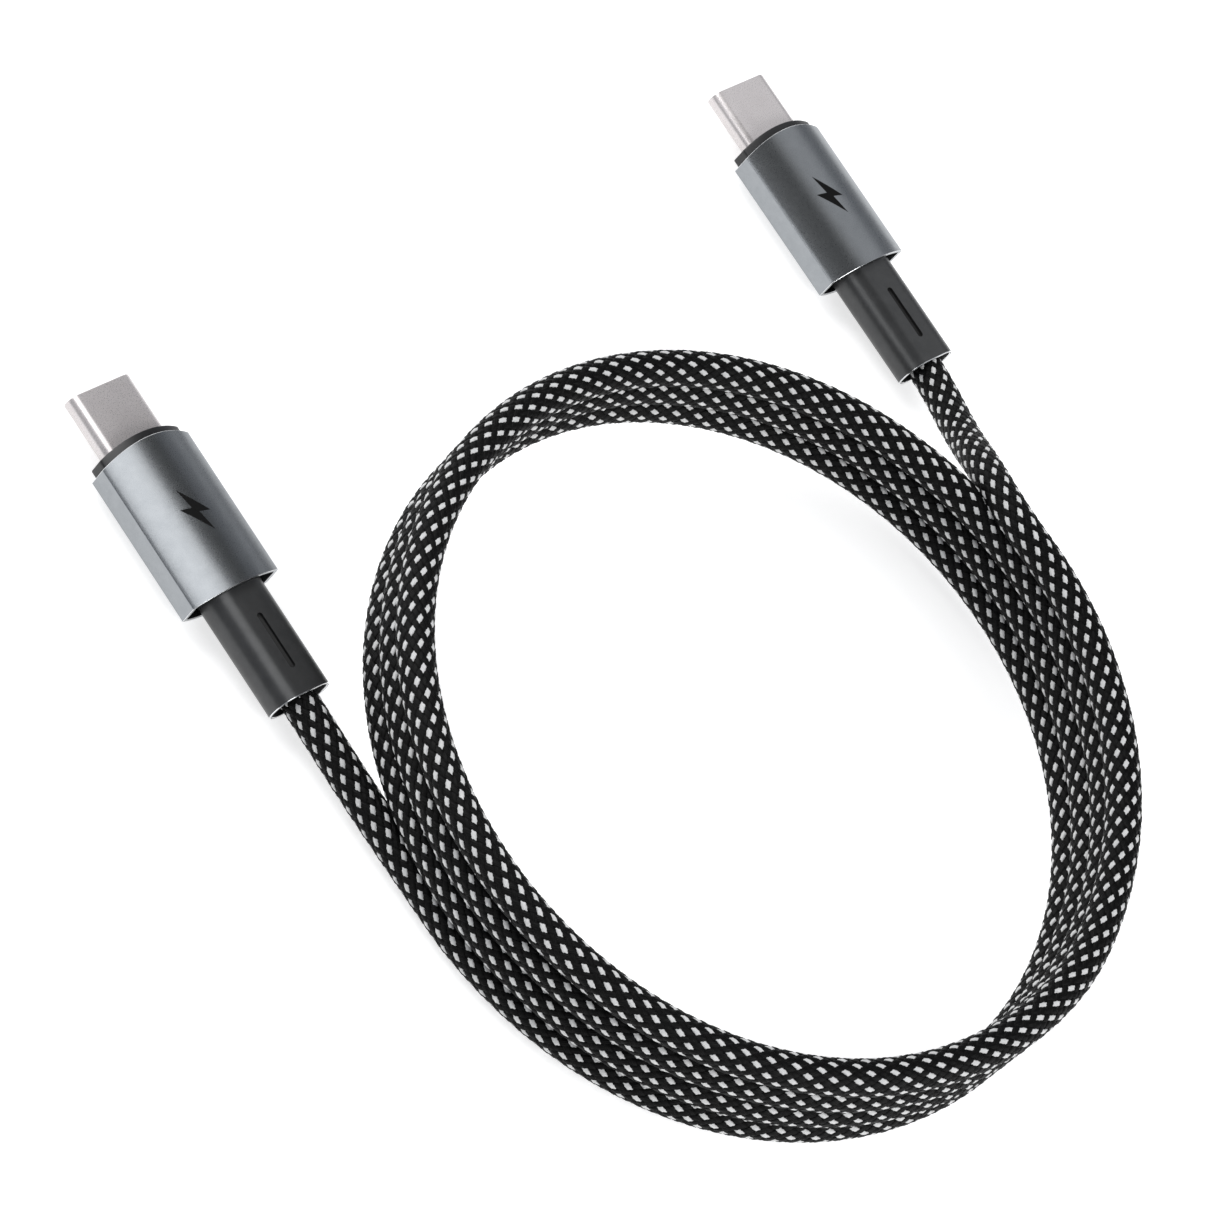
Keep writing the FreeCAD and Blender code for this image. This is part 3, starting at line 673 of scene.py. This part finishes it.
for plug in PLUGS:
    shape = tube_through((
        (SHELL_OUTSIDE, SHELL_TIP - SHELL_LENGTH), (SHELL_OUTSIDE, SHELL_TIP),
        (SHELL_INSIDE, SHELL_TIP), (SHELL_INSIDE, SHELL_TIP - SHELL_LENGTH)))
    front = sharp_edges(shape, RIM_TURN, lambda edge: min(vert.co.x for vert in edge.verts)
                        > SHELL_TIP - NEAR_THE_RIM)
    soften(shape, front, SHELL_RIM_ROUND, ROUND_SEGMENTS)
    finished(f"drawn_shell_{plug}", plug, shape, (satin_nickel,),
             f"plug_shell_{plug}")


# ------------------------------------------------------------------ strain reliefs
# A stiff satin sleeve over the cable, pressed into the rear of the casing.  Its mouth
# is open round the cable, and one slot along its top lets it give.
SLEEVE_WIDTH = 7.4 * MM
SLEEVE_HEIGHT = 4.8 * MM
SLEEVE_CORNER = 2.3 * MM
SLEEVE_BACK = -12.95 * MM
SLEEVE_FRONT = 2.7 * MM
SLEEVE_LIP = 0.32 * MM
SLEEVE_RECESS = 1.1 * MM
SLEEVE_RIM_ROUND = 0.1 * MM
ARC_STEPS = 12
SLOT_FROM = -10.05 * MM
SLOT_TO = -3.4 * MM
SLOT_WIDTH = 0.7 * MM
SLOT_FLOOR = 2.06 * MM
CUTTER_DEPTH = 2 * MM
CUTTER_CORNERS = 32
satin_graphite = grained(
    "satin_graphite", (0.052, 0.053, 0.054), (0.085, 0.086, 0.087), (0.30, 0.38),
    metallic=0.6, cloud=700.0, grain=9000.0, depth=0.004)
# the slot's walls and thin floor are painted near black: painted shade in the narrow slot
slot_painted_shade = grained(
    "slot_painted_shade", (0.002, 0.002, 0.002), (0.004, 0.004, 0.004), (0.6, 0.75))
SLEEVE_OUTSIDE = rounded_outline(SLEEVE_WIDTH, SLEEVE_HEIGHT, SLEEVE_CORNER, ARC_STEPS)
SLEEVE_MOUTH = rounded_outline(
    SLEEVE_WIDTH - 2 * SLEEVE_LIP, SLEEVE_HEIGHT - 2 * SLEEVE_LIP, SLEEVE_CORNER - SLEEVE_LIP,
    ARC_STEPS)
ROUND_ENOUGH = 1e-6
bore_radius = CORD_DIAMETER / 2 + CLOSE_GAP
SLEEVE_BORE = rounded_outline(
    2 * bore_radius, 2 * bore_radius, bore_radius - ROUND_ENOUGH, ARC_STEPS)

for plug in PLUGS:
    shape = tube_through((
        (SLEEVE_OUTSIDE, SLEEVE_FRONT), (SLEEVE_OUTSIDE, SLEEVE_BACK),
        (SLEEVE_MOUTH, SLEEVE_BACK), (SLEEVE_MOUTH, SLEEVE_BACK + SLEEVE_RECESS),
        (SLEEVE_BORE, SLEEVE_BACK + SLEEVE_RECESS), (SLEEVE_BORE, SLEEVE_FRONT)))
    back = sharp_edges(shape, RIM_TURN, lambda edge: max(vert.co.x for vert in edge.verts)
                       < SLEEVE_BACK + NEAR_THE_RIM)
    # the rounded back rim takes the bright chamfer finish, a painted highlight along the
    # sleeve's rear edge
    for face in soften(shape, back, SLEEVE_RIM_ROUND, 2):
        face.material_index = 1

    slot_shape = bmesh.new()
    bmesh.ops.create_cone(
        slot_shape, cap_ends=True, segments=CUTTER_CORNERS, radius1=SLOT_WIDTH / 2,
        radius2=SLOT_WIDTH / 2, depth=CUTTER_DEPTH)
    reach_out = (SLOT_TO - SLOT_FROM - SLOT_WIDTH) / 2
    for vert in slot_shape.verts:
        vert.co.x += reach_out if vert.co.x > 0 else -reach_out
    bmesh.ops.translate(slot_shape, verts=slot_shape.verts,
                        vec=((SLOT_FROM + SLOT_TO) / 2, 0.0, SLOT_FLOOR + CUTTER_DEPTH / 2))
    slot_shape.transform(plug_place[plug])
    slot_mesh = bpy.data.meshes.new("slot_cutter")
    slot_shape.to_mesh(slot_mesh)
    slot_shape.free()
    slot_mesh.materials.append(slot_painted_shade)
    cutter = bpy.data.objects.new("slot_cutter", slot_mesh)
    bpy.context.scene.collection.objects.link(cutter)

    sleeve = finished(f"strain_sleeve_{plug}", plug, shape, (satin_graphite, bright_chamfer_and_painted_highlight),
                      f"strain_relief_{plug}")
    # the cut hands the cutter's near-black painted shade to the slot's walls and floor
    slot_cut = sleeve.modifiers.new("slot", "BOOLEAN")
    slot_cut.object = cutter
    slot_cut.operation = "DIFFERENCE"
    slot_cut.solver = "EXACT"
    slot_cut.material_mode = "TRANSFER"
    ready = bpy.context.evaluated_depsgraph_get()
    cut_mesh = bpy.data.meshes.new_from_object(sleeve.evaluated_get(ready))
    sleeve.modifiers.clear()
    sleeve.data = cut_mesh
    sleeve.data.set_sharp_from_angle(angle=SMOOTH_BELOW)
    bpy.data.objects.remove(cutter)


# ------------------------------------------------------------------ the mouth of each plug
# A black moulded insulator holds twelve gold spring contacts above and twelve below the
# open slot, two steel ground springs at its front and a steel latch arm at each side.
glossy_black = grained(
    "glossy_black", (0.008, 0.008, 0.009), (0.014, 0.014, 0.015), (0.20, 0.30), depth=0.001)
gold_plate = grained(
    "gold_plate", (0.80, 0.56, 0.20), (0.90, 0.66, 0.28), (0.18, 0.26), metallic=1.0,
    depth=0.0006)
rolled_steel = grained(
    "rolled_steel", (0.62, 0.62, 0.62), (0.74, 0.74, 0.74), (0.20, 0.30), metallic=1.0,
    depth=0.0006)
mouth_finishes = {
    "contact_housing": glossy_black, "upper_contacts": gold_plate,
    "lower_contacts": gold_plate, "ground_springs": rolled_steel,
    "latch_arm_left": rolled_steel, "latch_arm_right": rolled_steel,
}


def refinish(finishes):
    """Give CAD nodes of both plugs their finish."""
    for piece_name, finish in finishes.items():
        for plug in PLUGS:
            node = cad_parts[f"{piece_name}_{plug}"]
            node.data.materials.clear()
            node.data.materials.append(finish)


refinish(mouth_finishes)


# ------------------------------------------------------------------ inside the casings
# The board with its chip sits in a pressed shield can behind the contacts; the cable's
# four wires are soldered to it, and a crimped ferrule and a moulded block hold the cable.
solder_mask = grained(
    "solder_mask", (0.010, 0.050, 0.022), (0.016, 0.080, 0.035), (0.22, 0.32), depth=0.002)
moulded_epoxy = grained(
    "moulded_epoxy", (0.018, 0.018, 0.018), (0.030, 0.030, 0.030), (0.5, 0.62), depth=0.003)
tinned_steel = grained(
    "tinned_steel", (0.55, 0.55, 0.54), (0.68, 0.68, 0.67), (0.30, 0.42), metallic=1.0,
    depth=0.001)
crimped_brass = grained(
    "crimped_brass", (0.62, 0.46, 0.20), (0.72, 0.56, 0.27), (0.28, 0.38), metallic=1.0,
    depth=0.001)
natural_mould = grained(
    "natural_mould", (0.66, 0.64, 0.58), (0.76, 0.74, 0.68), (0.45, 0.6), depth=0.004)
red_insulation = grained(
    "red_insulation", (0.42, 0.02, 0.02), (0.56, 0.04, 0.035), (0.3, 0.42), depth=0.002)
refinish({
    "rear_insert": satin_black, "circuit_board": solder_mask, "emarker_chip": moulded_epoxy,
    "shield_can": tinned_steel, "crimp_ferrule": crimped_brass,
    "inner_mould": natural_mould, "wire_ends": red_insulation,
})
